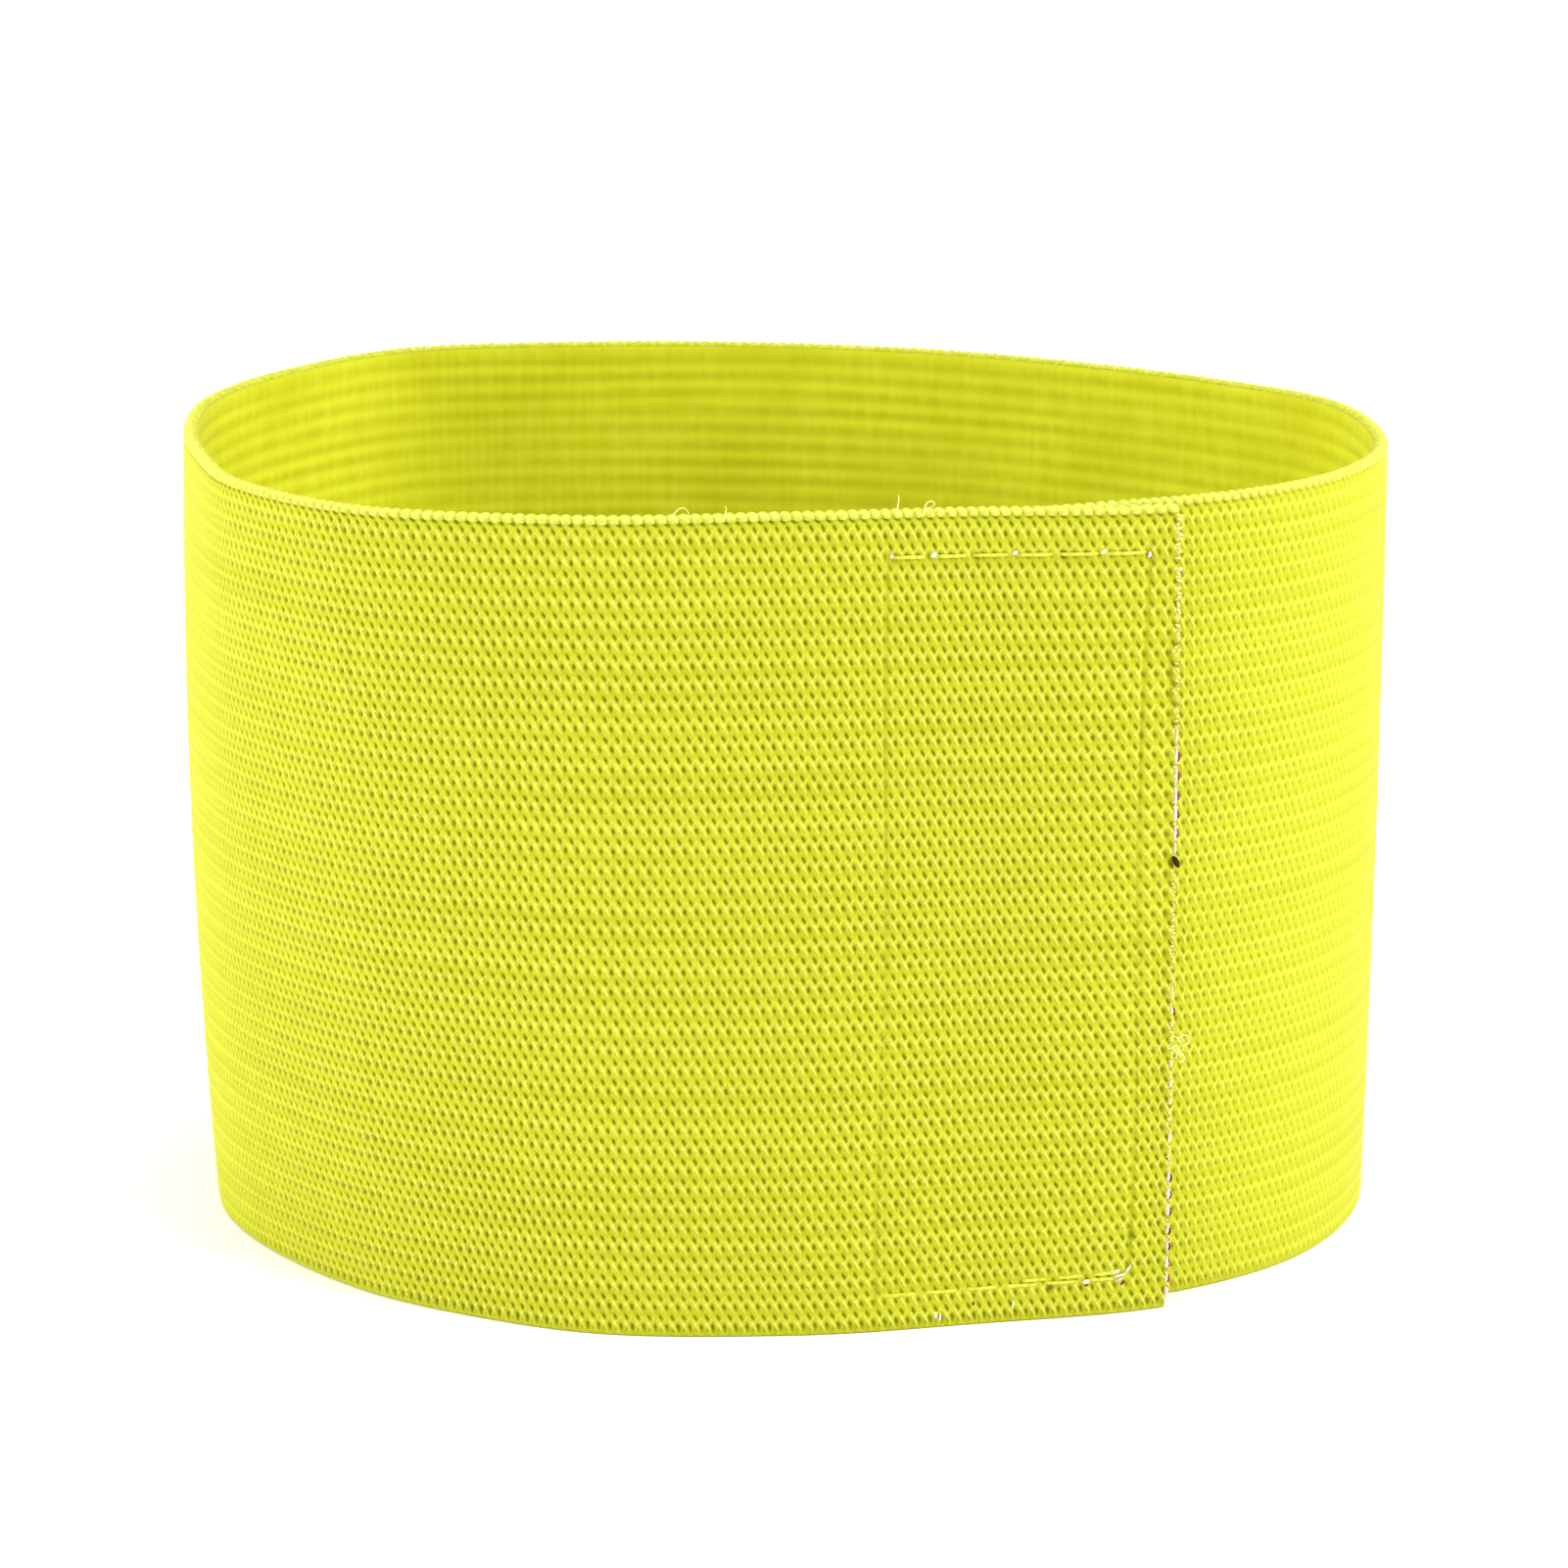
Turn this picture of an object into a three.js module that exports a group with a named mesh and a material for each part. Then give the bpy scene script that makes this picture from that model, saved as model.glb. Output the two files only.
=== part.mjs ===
// Captain armband: one length of wide ribbed elastic, standing on its lower edge as an oval ring.
// Its outer end, the flap, lies over its inner end, and a hook tape under the flap grips a loop
// tape on the inner end. Millimetres, +Z up, with the origin under the middle of the ring.

import * as THREE from 'three';

// The strip of elastic
const bandHeight = 70;
const wall = 1.3;
const edgeRound = 0.35;

// The oval that the ring stands in, across and from front to back
const ovalLength = 107.7;
const ovalDepth = 95;

// Where the strip closes: the flap's cut edge lies front right, and its length over the inner end
const flapEdgeTurn = 306.3;
const overlap = 25.5;
const liftRun = 36;
const innerEndDrop = 1.4;

// Hook tape and loop tape, the same width, sewn flat to the elastic
const tapeWidth = 25;
const tapeHeight = 65.5;
const tapeFoot = 1.7;
const hookThickness = 0.6;
const loopThickness = 0.55;
const hookSetback = 1.3;
const loopSetback = 0.7;
const tapeClearance = 0.22;

// Knitted relief: ribs along the inner face, and a groove under the beaded upper edge
const ribPitch = 1.71;
const ribDepth = 0.3;
const edgeBead = 1.1;
const grooveWidth = 0.7;
const grooveDepth = 0.25;

// How finely the strip is divided along its length, and its plain faces up their height
const overlapSteps = 5;
const ringSteps = 40;
const faceSteps = 8;

// The ring's plan, every 18 degrees from the right bend and anticlockwise seen from above.
// foot and rim give the outer face's distance from the middle as a share of the oval there,
// at the lower and upper edge, and belly how far the wall bows out between them.
const planRows = [
  { foot: 0.984, rim: 0.992, belly: 0.005 },
  { foot: 0.964, rim: 0.978, belly: 0.005 },
  { foot: 0.924, rim: 0.922, belly: 0.004 },
  { foot: 0.916, rim: 0.908, belly: 0.003 },
  { foot: 0.936, rim: 0.939, belly: 0.003 },
  { foot: 0.984, rim: 0.986, belly: 0.003 },
  { foot: 1.055, rim: 1.055, belly: 0.004 },
  { foot: 1.104, rim: 1.138, belly: 0.006 },
  { foot: 1.058, rim: 1.083, belly: 0.011 },
  { foot: 0.991, rim: 1.034, belly: 0.016 },
  { foot: 0.960, rim: 0.995, belly: 0.018 },
  { foot: 0.974, rim: 1.003, belly: 0.016 },
  { foot: 0.992, rim: 1.068, belly: 0.010 },
  { foot: 1.028, rim: 1.098, belly: 0.006 },
  { foot: 1.040, rim: 1.023, belly: 0.004 },
  { foot: 0.968, rim: 0.909, belly: 0.003 },
  { foot: 0.941, rim: 0.894, belly: 0.003 },
  { foot: 0.990, rim: 0.993, belly: 0.003 },
  { foot: 1.010, rim: 1.034, belly: 0.004 },
  { foot: 0.998, rim: 1.022, belly: 0.005 },
];

// A smooth closed curve round the ring at one level, from the reach of each row there
function levelCurve(reachOf) {
  const points = planRows.map((row, index) => {
    const turn = (index / planRows.length) * 2 * Math.PI;
    const reach = reachOf(row);
    return new THREE.Vector3(
      (ovalLength / 2) * reach * Math.cos(turn),
      (ovalDepth / 2) * reach * Math.sin(turn),
      0,
    );
  });
  return new THREE.CatmullRomCurve3(points, true, 'catmullrom', 0.5);
}

const footCurve = levelCurve((row) => row.foot);
const rimCurve = levelCurve((row) => row.rim);
const waistCurve = levelCurve((row) => (row.foot + row.rim) / 2 + row.belly);
waistCurve.arcLengthDivisions = 2000;

// Lengths along the strip are measured round the waist from the inner end's cut edge
const ringLength = waistCurve.getLength();
const stripLength = ringLength + overlap;
const flapEdgeShare = waistShareAt(flapEdgeTurn / 360);
const innerEndShare = flapEdgeShare - overlap / ringLength;
const flapLift = wall + hookThickness + loopThickness + 3 * tapeClearance;

// Share of the waist's length at a share of its turn
function waistShareAt(turnShare) {
  const lengths = waistCurve.getLengths();
  return lengths[Math.round(turnShare * (lengths.length - 1))] / ringLength;
}

// How far the strip stands out from the oval: nothing on the first time round, rising
// smoothly before the inner end to the full thickness of what the flap lies on
function liftAt(along) {
  return flapLift * THREE.MathUtils.smoothstep(along, ringLength - liftRun, ringLength);
}

// The strip's height: the inner end is pulled down a little under the flap
function heightAt(along) {
  return bandHeight - innerEndDrop * (1 - THREE.MathUtils.smoothstep(along, 0, overlap));
}

// A point of the strip: its length along, its depth in from the outer face and its height.
// The three levels' curves are joined by a parabola up the wall.
function stripPoint(along, inward, height) {
  const share = innerEndShare + along / ringLength;
  const turn = waistCurve.getUtoTmapping(((share % 1) + 1) % 1);
  const level = height / bandHeight;
  const footPart = (1 - level) * (1 - 2 * level);
  const waistPart = 4 * level * (1 - level);
  const rimPart = level * (2 * level - 1);
  const point = new THREE.Vector3();
  point.addScaledVector(footCurve.getPoint(turn), footPart);
  point.addScaledVector(waistCurve.getPoint(turn), waistPart);
  point.addScaledVector(rimCurve.getPoint(turn), rimPart);
  const tangent = waistCurve.getTangent(turn);
  const outward = new THREE.Vector3(tangent.y, -tangent.x, 0);
  point.addScaledVector(outward, liftAt(along) - inward);
  point.z = height;
  return point;
}

// Places along the strip between two lengths, where the overlap's steps lie one over the other
function stationsBetween(start, end) {
  const marks = [];
  for (let step = 0; step < overlapSteps; step += 1) {
    marks.push((overlap * step) / overlapSteps);
  }
  for (let step = 0; step < ringSteps; step += 1) {
    marks.push(overlap + ((ringLength - overlap) * step) / ringSteps);
  }
  for (let step = 0; step <= overlapSteps; step += 1) {
    marks.push(ringLength + (overlap * step) / overlapSteps);
  }
  const leastStep = 0.5;
  const inside = marks.filter((mark) => mark > start + leastStep && mark < end - leastStep);
  return [start, ...inside, end];
}

// A closed solid that carries a section along the strip. The section's corners run up the
// outer face and down the inner one, each with its depth inward and its height.
function carriedSolid(start, end, sectionAt) {
  const stations = stationsBetween(start, end);
  const positions = [];
  for (const along of stations) {
    for (const corner of sectionAt(along)) {
      positions.push(...stripPoint(along, corner.inward, corner.height).toArray());
    }
  }
  const section = sectionAt(start);
  const count = section.length;
  const faces = [];
  for (let station = 0; station + 1 < stations.length; station += 1) {
    for (let corner = 0; corner < count; corner += 1) {
      const next = (corner + 1) % count;
      const here = station * count;
      const there = here + count;
      faces.push(here + corner, there + corner, there + next);
      faces.push(here + corner, there + next, here + next);
    }
  }
  const outline = section.map((corner) => new THREE.Vector2(-corner.inward, corner.height));
  const last = (stations.length - 1) * count;
  for (const [a, b, c] of THREE.ShapeUtils.triangulateShape(outline, [])) {
    faces.push(a, b, c);
    faces.push(last + a, last + c, last + b);
  }
  const geometry = new THREE.BufferGeometry();
  geometry.setAttribute('position', new THREE.Float32BufferAttribute(positions, 3));
  geometry.setIndex(faces);
  geometry.computeVertexNormals();
  return geometry;
}

// Corners of a plain face at one depth, from one height to another
function plainFace(inward, start, end) {
  const corners = [];
  for (let step = 0; step <= faceSteps; step += 1) {
    corners.push({ inward, height: start + ((end - start) * step) / faceSteps });
  }
  return corners;
}

// Section of the elastic: rounded edges, a groove under the upper edge's bead on the outer
// face, and a wave of ribs down the inner face
function elasticSection(along) {
  const top = heightAt(along);
  const grooveMiddle = top - edgeBead;
  const corners = [
    { inward: edgeRound, height: 0 },
    ...plainFace(0, edgeRound, grooveMiddle - grooveWidth / 2),
    { inward: grooveDepth, height: grooveMiddle },
    { inward: 0, height: grooveMiddle + grooveWidth / 2 },
    { inward: 0, height: top - edgeRound },
    { inward: edgeRound, height: top },
    { inward: wall - edgeRound, height: top },
  ];
  const ribCount = Math.round((bandHeight - 2 * edgeRound) / ribPitch);
  const ribHeight = (top - 2 * edgeRound) / ribCount;
  for (let rib = 0; rib < ribCount; rib += 1) {
    const ribTop = top - edgeRound - rib * ribHeight;
    corners.push({ inward: wall, height: ribTop - ribHeight / 4 });
    corners.push({ inward: wall - ribDepth, height: ribTop - (ribHeight * 3) / 4 });
  }
  corners.push({ inward: wall - edgeRound, height: 0 });
  return corners;
}

// Section of a tape between two depths
function tapeSection(outerDepth, innerDepth) {
  return [
    ...plainFace(outerDepth, tapeFoot, tapeFoot + tapeHeight),
    ...plainFace(innerDepth, tapeFoot + tapeHeight, tapeFoot),
  ];
}

function fabric(color, roughness) {
  return new THREE.MeshStandardMaterial({ color, roughness, metalness: 0 });
}

// Elastic strip, from the inner end's cut edge to the flap's
const band = new THREE.Mesh(
  carriedSolid(0, stripLength, elasticSection),
  fabric(0xd6da38, 0.85),
);
band.name = 'band';

// Loop tape on the outer face of the inner end
const loopOuter = -(tapeClearance + loopThickness);
const loopTape = new THREE.Mesh(
  carriedSolid(loopSetback, loopSetback + tapeWidth, () => tapeSection(loopOuter, -tapeClearance)),
  fabric(0xeeeedc, 0.95),
);
loopTape.name = 'loop_tape';

// Hook tape on the inner face of the flap
const hookEnd = stripLength - hookSetback;
const hookOuter = wall + tapeClearance;
const hookTape = new THREE.Mesh(
  carriedSolid(hookEnd - tapeWidth, hookEnd, () => tapeSection(hookOuter, hookOuter + hookThickness)),
  fabric(0xf2f2ea, 0.6),
);
hookTape.name = 'hook_tape';

// The armband, set with the middle of its outline over the origin
const armband = new THREE.Group();
armband.add(band, loopTape, hookTape);
const outline = new THREE.Box3().setFromObject(armband);
const middle = outline.getCenter(new THREE.Vector3());
armband.position.set(-middle.x, -middle.y, 0);

export default armband;
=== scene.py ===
import bpy
import numpy as np
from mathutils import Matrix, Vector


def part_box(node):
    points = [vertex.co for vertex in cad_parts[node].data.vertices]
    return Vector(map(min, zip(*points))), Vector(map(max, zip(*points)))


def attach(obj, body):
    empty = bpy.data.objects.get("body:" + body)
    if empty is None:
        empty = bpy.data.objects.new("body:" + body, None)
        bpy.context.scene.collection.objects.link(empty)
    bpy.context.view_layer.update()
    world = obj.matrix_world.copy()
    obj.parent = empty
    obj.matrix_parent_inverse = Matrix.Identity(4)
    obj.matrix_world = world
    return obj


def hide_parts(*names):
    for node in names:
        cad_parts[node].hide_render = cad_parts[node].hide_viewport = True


# Looks of the captain armband, in metres: the knitted elastic with its beaded upper edge, the
# tapes that close it, the seams of the flap, its cut yarn ends and the few loose fibres.
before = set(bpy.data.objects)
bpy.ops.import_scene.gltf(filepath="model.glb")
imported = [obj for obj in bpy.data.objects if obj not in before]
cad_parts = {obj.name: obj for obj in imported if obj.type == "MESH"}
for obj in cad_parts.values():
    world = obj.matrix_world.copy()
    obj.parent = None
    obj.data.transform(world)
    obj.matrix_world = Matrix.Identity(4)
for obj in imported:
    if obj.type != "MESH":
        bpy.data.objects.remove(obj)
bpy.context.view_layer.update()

MM = 0.001
TURN = 2 * np.pi


# Camera of the photograph

def place_camera():
    """A long lens, level from side to side, looking down at the ring from in front."""
    view = bpy.data.cameras.new("view")
    view.lens = 139.6
    view.sensor_width = 36
    view.shift_x = 0.0166
    view.shift_y = 0.0104
    view.clip_start = 0.01
    camera = bpy.data.objects.new("view", view)
    camera.location = (-0.00207, -0.5383, 0.1614)
    camera.rotation_euler = (np.radians(90 - 13.19), 0, 0)
    bpy.context.scene.collection.objects.link(camera)
    bpy.context.scene.camera = camera


place_camera()

# The strip of elastic, as its solid has it
BAND_HEIGHT = 70 * MM
WALL = 1.3 * MM
OVAL_LENGTH = 107.7 * MM
OVAL_DEPTH = 95 * MM
FLAP_EDGE_TURN = 306.3 / 360
OVERLAP = 25.5 * MM
LIFT_RUN = 36 * MM
INNER_END_DROP = 1.4 * MM
EDGE_WAVE = 0.24 * MM
TAPE_WIDTH = 25 * MM
TAPE_HEIGHT = 65.5 * MM
TAPE_FOOT = 1.7 * MM
HOOK_THICKNESS = 0.6 * MM
LOOP_THICKNESS = 0.55 * MM
HOOK_SETBACK = 1.3 * MM
LOOP_SETBACK = 0.7 * MM
TAPE_CLEARANCE = 0.22 * MM
FLAP_LIFT = WALL + HOOK_THICKNESS + LOOP_THICKNESS + 3 * TAPE_CLEARANCE

# The ring's plan, every 18 degrees from the right bend and anticlockwise seen from above: the
# outer face's reach at the lower and upper edge as a share of the oval, and the wall's belly
PLAN = np.array([
    (0.984, 0.992, 0.005), (0.964, 0.978, 0.005), (0.924, 0.922, 0.004), (0.916, 0.908, 0.003),
    (0.936, 0.939, 0.003), (0.984, 0.986, 0.003), (1.055, 1.055, 0.004), (1.104, 1.138, 0.006),
    (1.058, 1.083, 0.011), (0.991, 1.034, 0.016), (0.960, 0.995, 0.018), (0.974, 1.003, 0.016),
    (0.992, 1.068, 0.010), (1.028, 1.098, 0.006), (1.040, 1.023, 0.004), (0.968, 0.909, 0.003),
    (0.941, 0.894, 0.003), (0.990, 0.993, 0.003), (1.010, 1.034, 0.004), (0.998, 1.022, 0.005),
])

# The knit. Stitch columns run up the band, and row pairs round it: a row of upright pits, and
# half a column aside a row of pits that lean. Rows are counted down from the highest upright pits.
COLUMNS = 368
ROW_PAIRS = 39
HIGHEST_PITS = 2.2 * MM
LOWEST_PITS = 0.9 * MM
ROW_GATHER = 0.014
ROW_PHASES = (0.0, 0.16, 0.36, 0.54, 0.70, 0.85)
COLUMN_STEPS = 4
INNER_COLUMNS = 2
RIBS = 41
RIB_STEPS = 5
RELIEF = 0.17 * MM
STRAND_RISE = 0.8
RIB_DEPTH = 0.26 * MM
# The rows over which the knit fades out at the foot, how ragged the cut ends are, how far the
# columns wander, and how deep the seams draw the web in
FOOT_FADE = (39.3, 39.5)
RAGGED = 0.14 * MM
COLUMN_WANDER = 0.35 * MM
SEAM_DEPTH = 0.18 * MM
WEB_NAMES = ("web_inner_end", "web_right", "web_back", "web_left", "web_flap")

# Seams that hold the hook tape, measured back from the flap's cut edge, and their stitches
SEAM_RIGHT = 2.35 * MM
SEAM_LEFT = 24.1 * MM
SEAM_TOP = 66.2 * MM
SEAM_FOOT = 3.1 * MM
SEAM_LEAN = 1.1 * MM
STITCH = 3.56 * MM


# The strip's surface

def closed_curve(reach, turn):
    """Smooth closed curve through the oval's points at one level: between two points, the
    cubic that passes both with the slope of their neighbours' chord."""
    angle = np.arange(len(reach)) * TURN / len(reach)
    points = np.stack([OVAL_LENGTH / 2 * reach * np.cos(angle),
                       OVAL_DEPTH / 2 * reach * np.sin(angle)], -1)
    place = (turn % 1.0) * len(reach)
    first = np.floor(place).astype(int)
    t = (place - first)[..., None]
    a, b, c, d = (points[(first + step) % len(reach)] for step in (-1, 0, 1, 2))
    return (2 * b + (c - a) * t + (2 * a - 5 * b + 4 * c - d) * t ** 2
            + (3 * b - a - 3 * c + d) * t ** 3) / 2


FOOT, RIM, WAIST = PLAN[:, 0], PLAN[:, 1], (PLAN[:, 0] + PLAN[:, 1]) / 2 + PLAN[:, 2]
fine_turns = np.linspace(0, 1, 8001)
waist_steps = np.linalg.norm(np.diff(closed_curve(WAIST, fine_turns), axis=0), axis=-1)
waist_lengths = np.concatenate([[0], np.cumsum(waist_steps)])
RING_LENGTH = waist_lengths[-1]
STRIP_LENGTH = RING_LENGTH + OVERLAP
COLUMN = STRIP_LENGTH / COLUMNS
FLAP_EDGE = np.interp(FLAP_EDGE_TURN, fine_turns, waist_lengths)


def smooth_rise(value, start, end):
    """0 before start, 1 past end, and between them the cubic that is level at both."""
    share = np.clip((value - start) / (end - start), 0, 1)
    return share * share * (3 - 2 * share)


def bell(value, middle, width):
    """1 in the middle, falling to 1/e at a width from it."""
    return np.exp(-((value - middle) / width) ** 2)


def strip_top(along):
    """Height of the upper edge: pulled down a little at the inner end, and risen in a low wave
    along the flap."""
    pulled = INNER_END_DROP * (1 - smooth_rise(along, 0, OVERLAP))
    return BAND_HEIGHT - pulled + EDGE_WAVE * bell(STRIP_LENGTH - along, 30 * MM, 24 * MM)


def strip_point(along, inward, height):
    """Point at a length along the strip, a depth in from its outer face and a height: the
    three levels' curves joined by a parabola, moved along the waist's outward normal."""
    along, inward, height = np.broadcast_arrays(along, inward, height)
    turn = np.interp((FLAP_EDGE - OVERLAP + along) % RING_LENGTH, waist_lengths, fine_turns)
    level = (height / BAND_HEIGHT)[..., None]
    plan = (closed_curve(FOOT, turn) * (1 - level) * (1 - 2 * level)
            + closed_curve(WAIST, turn) * 4 * level * (1 - level)
            + closed_curve(RIM, turn) * level * (2 * level - 1))
    ahead = closed_curve(WAIST, turn + 1e-4) - closed_curve(WAIST, turn - 1e-4)
    ahead /= np.linalg.norm(ahead, axis=-1, keepdims=True)
    outward = np.stack([ahead[..., 1], -ahead[..., 0]], -1)
    lift = FLAP_LIFT * smooth_rise(along, RING_LENGTH - LIFT_RUN, RING_LENGTH)
    plan = plan + outward * (lift - inward)[..., None] + shift
    return np.concatenate([plan, height[..., None]], -1)


# The oval's own middle is not the outline's, so the strip is moved onto its solid
shift = np.zeros(2)
outline = strip_point(np.linspace(0, STRIP_LENGTH, 4001), 0.0,
                      BAND_HEIGHT * np.array([[0.0], [0.5], [1.0]]))
low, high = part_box("band")
shift = (np.array(low[:2]) + np.array(high[:2])
         - outline[..., :2].min((0, 1)) - outline[..., :2].max((0, 1))) / 2


# Colours, and the one helper for nodes

def colour(code):
    """Linear colour of an sRGB hex code."""
    channels = np.array([int(code[i:i + 2], 16) / 255 for i in (0, 2, 4)])
    linear = np.where(channels <= 0.04045, channels / 12.92, ((channels + 0.055) / 1.055) ** 2.4)
    return (*linear, 1.0)


def add(tree, kind, inputs=None, out=0, **settings):
    """A node with its settings, and its inputs set or linked. Gives one of its outputs."""
    node = tree.nodes.new("ShaderNode" + kind)
    for name, value in settings.items():
        setattr(node, name, value)
    for key, value in (inputs or {}).items():
        if isinstance(value, bpy.types.NodeSocket):
            tree.links.new(value, node.inputs[key])
        else:
            node.inputs[key].default_value = value
    return node.outputs[out] if node.outputs else None


def finish_material(name, shading):
    """A material whose pattern is made by shading, which returns the shader's inputs."""
    material = bpy.data.materials.new(name)
    material.use_nodes = True
    tree = material.node_tree
    tree.nodes.clear()
    add(tree, "OutputMaterial", {0: add(tree, "BsdfPrincipled", shading(tree))})
    return material


# The knit's marks: a column and a row, how narrow the mark is across the columns, its half length
# in row pairs, how far it leans aside in columns a row pair, and its weight
# Pits are sunk in the face, and their darkness is painted shade; the last three are faint ones,
# painted shade under, beside and above each upright pit
PITS = (
    (0.25, 0.00, 2.2, 0.155, 0.30, 1.28),
    (0.76, 0.535, 2.6, 0.170, 0.75, 1.20),
    (0.28, 0.31, 1.2, 0.120, -0.30, 0.18),
    (0.67, 0.08, 2.0, 0.150, 0.50, 0.10),
    (0.25, -0.26, 2.0, 0.090, 0.00, 0.10),
)
# Strands stand out of the face, and their highlight is painted into its colour
STRANDS = (
    (-0.18, -0.01, 5.0, 0.24, 0.92, 1.00),
    (-0.13, -0.25, 4.0, 0.15, -1.40, 1.05),
)
# Pits that come in one row only, their darkness painted shade like the others': the groove under
# the beads, and close ones along the foot
EDGE_PITS = (
    (0.25, -0.80, 0.9, 0.085, 2.2, 1.3),
    (0.25, 39.20, 3.0, 0.10, 0.0, 0.45),
    (0.75, 39.20, 3.0, 0.10, 0.0, 0.45),
)


def mark_value(column, row, marks, repeats=True):
    """Weighted sum of marks. Down the rows each is a bell of the distance from its middle, and
    across the columns e to the power of a cosine less one, moved aside as the mark leans."""
    total = 0
    for place, level, narrow, short, lean, weight in marks:
        down = row - level
        if repeats:
            down = down - np.round(down)
        across = TURN * (column - place - lean * down)
        total = total + weight * np.exp(narrow * (np.cos(across) - 1) - (down / short) ** 2)
    return total


def mark_nodes(tree, column, row, marks, repeats=True):
    """mark_value, as nodes."""
    total = 0.0
    for place, level, narrow, short, lean, weight in marks:
        down = add(tree, "Math", {0: row, 1: level}, operation="SUBTRACT")
        if repeats:
            down = add(tree, "Math", {0: down, 1: 0.5, 2: -0.5}, operation="WRAP")
        across = add(tree, "Math", {0: column, 1: TURN, 2: -TURN * place}, operation="MULTIPLY_ADD")
        across = add(tree, "Math", {0: down, 1: -TURN * lean, 2: across}, operation="MULTIPLY_ADD")
        ridge = add(tree, "Math", {0: across}, operation="COSINE")
        ridge = add(tree, "Math", {0: ridge, 1: narrow, 2: -narrow}, operation="MULTIPLY_ADD")
        square = add(tree, "Math", {0: down, 1: down}, operation="MULTIPLY")
        power = add(tree, "Math", {0: square, 1: -short ** -2, 2: ridge}, operation="MULTIPLY_ADD")
        mark = add(tree, "Math", {0: power}, operation="EXPONENT")
        total = add(tree, "Math", {0: mark, 1: weight, 2: total}, operation="MULTIPLY_ADD")
    return total


# Materials

# The knit's two tones: they mix by random streaks and filaments of the yarn, and by the painted
# highlight where the yarn lies higher
KNIT_SHADE = "B2B422"
KNIT_LIGHT = "C4C532"
# Painted highlight on the strands that lie over the pits
STRAND_HIGHLIGHT = "E2E45C"
# Painted shade in the pits, the seams' grooves and the other deep places
PIT_SHADE = "888A00"
# Painted shadow in a gap of the cut
HOLE_SHADOW = "1E1A00"
LAID_BRIGHT = "DEE244"
LAID_LIGHT = "D6D92E"
LAID_DARK = "B7B512"
# The beads' own tone, and a darker one for random blotches and painted shade
BEAD_LIGHT = "D2D460"
BEAD_SHADE = "ACB02C"
# Every textile here: polyester's IOR, hardly a highlight, and pale fuzz that shows aslant
FABRIC = {"IOR": 1.5, "Specular IOR Level": 0.07, "Sheen Roughness": 0.3,
          "Sheen Tint": colour("FFFFBC")}


def knit_face(tree):
    """Polyester yarn over covered rubber, warp knitted. To the eye it is matte, dark in the pits
    between stitches and light on the strands that lie over them, and it blooms where it turns. The
    dark in the pits, the seams' grooves and the deep places is painted shade, the light on the
    strands and where the yarn lies higher is painted highlight, and a gap in the cut has painted
    shadow."""
    uv = add(tree, "UVMap", uv_map="knit")
    column, row = add(tree, "SeparateXYZ", {0: uv}).node.outputs[:2]
    clear = add(tree, "Attribute", out="Fac", attribute_name="clear")
    shade = add(tree, "Attribute", out="Fac", attribute_name="shade")
    pits = add(tree, "Math", {0: mark_nodes(tree, column, row, PITS),
                              1: mark_nodes(tree, column, row, EDGE_PITS, False)}, operation="ADD")
    pits = add(tree, "Math", {0: pits, 1: clear, 2: shade},
               operation="MULTIPLY_ADD", use_clamp=True)
    strands = mark_nodes(tree, column, row, STRANDS)
    strands = add(tree, "Math", {0: strands, 1: clear}, operation="MULTIPLY", use_clamp=True)
    # Between a leaning row and the upright one below it the yarn lies higher, and a painted
    # highlight makes it lighter there
    turned = add(tree, "Math", {0: row, 1: TURN, 2: TURN * 0.15}, operation="MULTIPLY_ADD")
    zone = add(tree, "Math", {0: turned}, operation="COSINE")
    long_way = add(tree, "Mapping", {0: uv, 3: (0.02, 0.9, 1.0)})
    streak = add(tree, "TexNoise", {"Vector": long_way, "Scale": 1.0, "Detail": 2.0})
    streak = add(tree, "MapRange", {0: streak, 1: 0.35, 2: 0.65, 3: 0.3, 4: 0.7})
    # Filaments of the yarn, drawn coarser than they are so that they show
    yarn = add(tree, "TexNoise", {"Vector": uv, "Scale": 4.5, "Detail": 2.0})
    body = add(tree, "Math", {0: zone, 1: 0.3, 2: streak}, operation="MULTIPLY_ADD")
    body = add(tree, "Math", {0: yarn, 1: 1.8, 2: body}, operation="MULTIPLY_ADD")
    body = add(tree, "Math", {0: body, 1: 0.9}, operation="SUBTRACT", use_clamp=True)
    tone = add(tree, "Mix", {0: body, 6: colour(KNIT_SHADE), 7: colour(KNIT_LIGHT)}, 2,
               data_type="RGBA")
    # Painted highlight on the strands
    tone = add(tree, "Mix", {0: strands, 6: tone, 7: colour(STRAND_HIGHLIGHT)}, 2, data_type="RGBA")
    # Painted shade of the pits, the seam grooves and the deep places
    tone = add(tree, "Mix", {0: pits, 6: tone, 7: colour(PIT_SHADE)}, 2, data_type="RGBA")
    # Past 1, the shade turns to the painted shadow of the gap in the cut
    hole = add(tree, "Math", {0: shade, 1: 1.0}, operation="SUBTRACT", use_clamp=True)
    tone = add(tree, "Mix", {0: hole, 6: tone, 7: colour(HOLE_SHADOW)}, 2, data_type="RGBA")
    height = add(tree, "Math", {0: pits, 1: -1.2, 2: strands}, operation="MULTIPLY_ADD")
    height = add(tree, "Math", {0: yarn, 1: 0.4, 2: height}, operation="MULTIPLY_ADD")
    bump = add(tree, "Bump", {"Height": height, "Distance": 0.13 * MM, "Strength": 1.0})
    return {"Base Color": tone, "Roughness": 0.75, "Sheen Weight": 0.24, "Normal": bump, **FABRIC}


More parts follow.
